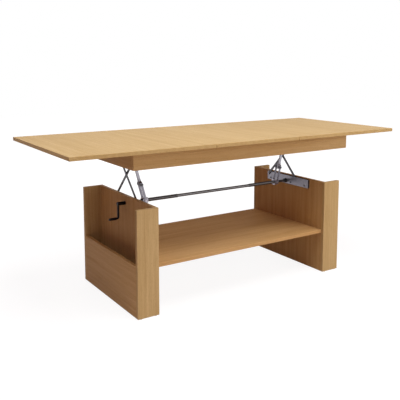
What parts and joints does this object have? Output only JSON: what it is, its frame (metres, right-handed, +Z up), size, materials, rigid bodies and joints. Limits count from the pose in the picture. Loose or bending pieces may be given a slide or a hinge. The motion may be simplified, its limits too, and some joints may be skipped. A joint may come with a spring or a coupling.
{
  "type": "convertible coffee dining table",
  "caption": "Beech-finish coffee table with a crank-driven scissor lift to dining height, sliding leaves round a loose middle leaf, a shelf and open magazine pockets in its end units.",
  "frame": {"origin": "on the floor under the middle of the table", "axes": "+X along the table to the right, +Y to the rear, +Z up; wound up and drawn out at rest"},
  "size_m": [1.74, 0.7, 0.71],
  "materials": {
    "beech": "satin beech foil",
    "frame_wood": "raw planed beech",
    "zinc_steel": "zinc plated",
    "dark_steel": "dark plated",
    "black_enamel": "satin black",
    "black_plastic": "moulded",
    "nylon": "moulded nylon"
  },
  "bodies": {
    "base": {"left_front_stile": "beech", "left_rear_stile": "beech", "right_front_stile": "beech", "right_rear_stile": "beech", "left_end_panel": "beech", "right_end_panel": "beech", "left_pocket_panel": "beech", "right_pocket_panel": "beech", "pocket_floors": "beech", "shelf": "beech", "floor_glides": "nylon", "base_dowels": "frame_wood", "left_lower_rail": "zinc_steel", "right_lower_rail": "zinc_steel", "lower_rail_screws": "zinc_steel", "foot_pivot_pins": "zinc_steel", "spindle_bushes": "nylon"},
    "spindle": {"spindle": "dark_steel", "spindle_collars": "dark_steel", "crank": "black_enamel"},
    "crank_grip": {"crank_grip": "black_plastic"},
    "left_nut": {"left_nut": "zinc_steel"},
    "right_nut": {"right_nut": "zinc_steel"},
    "left_lever": {"left_lever_fork": "zinc_steel", "left_lever_bar": "zinc_steel", "left_lever_bolts": "dark_steel"},
    "right_lever": {"right_lever_fork": "zinc_steel", "right_lever_bar": "zinc_steel", "right_lever_bolts": "dark_steel"},
    "left_fixed_foot_arm": {"left_fixed_foot_arm": "dark_steel", "left_fixed_foot_arm_pins": "zinc_steel"},
    "right_fixed_foot_arm": {"right_fixed_foot_arm": "dark_steel", "right_fixed_foot_arm_pins": "zinc_steel"},
    "left_sliding_foot_arm": {"left_sliding_foot_arm": "dark_steel", "left_sliding_foot_arm_pin": "zinc_steel"},
    "right_sliding_foot_arm": {"right_sliding_foot_arm": "dark_steel", "right_sliding_foot_arm_pin": "zinc_steel"},
    "top_frame": {"front_apron": "beech", "rear_apron": "beech", "left_end_apron": "beech", "right_end_apron": "beech", "apron_dowels": "frame_wood", "corner_blocks": "frame_wood", "left_cross_rail": "frame_wood", "right_cross_rail": "frame_wood", "centre_rail": "frame_wood", "runner_guides": "frame_wood", "left_upper_rail": "zinc_steel", "right_upper_rail": "zinc_steel", "head_pivot_pins": "zinc_steel", "left_lever_bracket": "zinc_steel", "right_lever_bracket": "zinc_steel", "frame_screws": "zinc_steel"},
    "left_leaf": {"left_leaf": "beech", "left_runners": "frame_wood", "left_runner_screws": "zinc_steel"},
    "right_leaf": {"right_leaf": "beech", "right_runners": "frame_wood", "right_runner_screws": "zinc_steel"},
    "insert_leaf": {"insert_leaf": "beech"}
  },
  "joints": [
    {"name": "height_lowering", "type": "hinge", "parent": "base", "child": "left_fixed_foot_arm", "pos_m": [-0.46, 0.137, 0.44], "axis": [1, 0, 0], "range_deg": [0, 30.53]},
    {"name": "left_cross_pivot", "type": "hinge", "parent": "left_fixed_foot_arm", "child": "left_sliding_foot_arm", "pos_m": [-0.46, 0.02948, 0.551], "axis": [1, 0, 0], "range_deg": [-61.06, 0]},
    {"name": "top_level_pivot", "type": "hinge", "parent": "left_sliding_foot_arm", "child": "top_frame", "pos_m": [-0.46, 0.137, 0.662], "axis": [1, 0, 0], "range_deg": [0, 30.54]},
    {"name": "right_foot_pivot", "type": "hinge", "parent": "base", "child": "right_fixed_foot_arm", "pos_m": [0.46, 0.137, 0.44], "axis": [1, 0, 0], "range_deg": [0, 30.54]},
    {"name": "right_cross_pivot", "type": "hinge", "parent": "right_fixed_foot_arm", "child": "right_sliding_foot_arm", "pos_m": [0.46, 0.02948, 0.551], "axis": [1, 0, 0], "range_deg": [-61.06, 0]},
    {"name": "spindle_turn", "type": "hinge", "parent": "base", "child": "spindle", "pos_m": [0, 0, 0.424], "axis": [1, 0, 0], "range_deg": [0, 4411]},
    {"name": "crank_grip_spin", "type": "hinge", "parent": "spindle", "child": "crank_grip", "pos_m": [-0.545, 0, 0.358], "axis": [1, 0, 0], "continuous": true},
    {"name": "leaf_closing", "type": "slide", "parent": "top_frame", "child": "left_leaf", "axis": [1, 0, 0], "range_m": [0, 0.23]},
    {"name": "right_leaf_slide", "type": "slide", "parent": "top_frame", "child": "right_leaf", "axis": [-1, 0, 0], "range_m": [0, 0.23005]},
    {"name": "insert_lift", "type": "slide", "parent": "top_frame", "child": "insert_leaf", "axis": [0, 0, 1], "range_m": [0, 0.34505]},
    {"name": "left_nut_slide", "type": "slide", "parent": "base", "child": "left_nut", "axis": [1, 0, 0], "range_m": [0, 0.15557]},
    {"name": "left_lever_swing", "type": "hinge", "parent": "left_nut", "child": "left_lever", "pos_m": [-0.386, 0, 0.424], "axis": [0, -1, 0], "range_deg": [0, 53]},
    {"name": "right_nut_slide", "type": "slide", "parent": "base", "child": "right_nut", "axis": [-1, 0, 0], "range_m": [0, 0.15557]},
    {"name": "right_lever_swing", "type": "hinge", "parent": "right_nut", "child": "right_lever", "pos_m": [0.386, 0, 0.424], "axis": [0, 1, 0], "range_deg": [0, 53]}
  ],
  "couplings": [
    {"joint": "left_cross_pivot", "follows": "height_lowering", "ratio": -2},
    {"joint": "top_level_pivot", "follows": "height_lowering", "ratio": 1},
    {"joint": "right_foot_pivot", "follows": "height_lowering", "ratio": 1},
    {"joint": "right_cross_pivot", "follows": "height_lowering", "ratio": -2},
    {"joint": "spindle_turn", "follows": "height_lowering", "ratio": 144.46},
    {"joint": "right_leaf_slide", "follows": "leaf_closing", "ratio": 1},
    {"joint": "insert_lift", "follows": "leaf_closing", "ratio": 1.5},
    {"joint": "left_nut_slide", "follows": "height_lowering", "m_per_rad": 0.2919},
    {"joint": "left_lever_swing", "follows": "height_lowering", "ratio": 1.7358},
    {"joint": "right_nut_slide", "follows": "height_lowering", "m_per_rad": 0.2919},
    {"joint": "right_lever_swing", "follows": "height_lowering", "ratio": 1.7358}
  ]
}
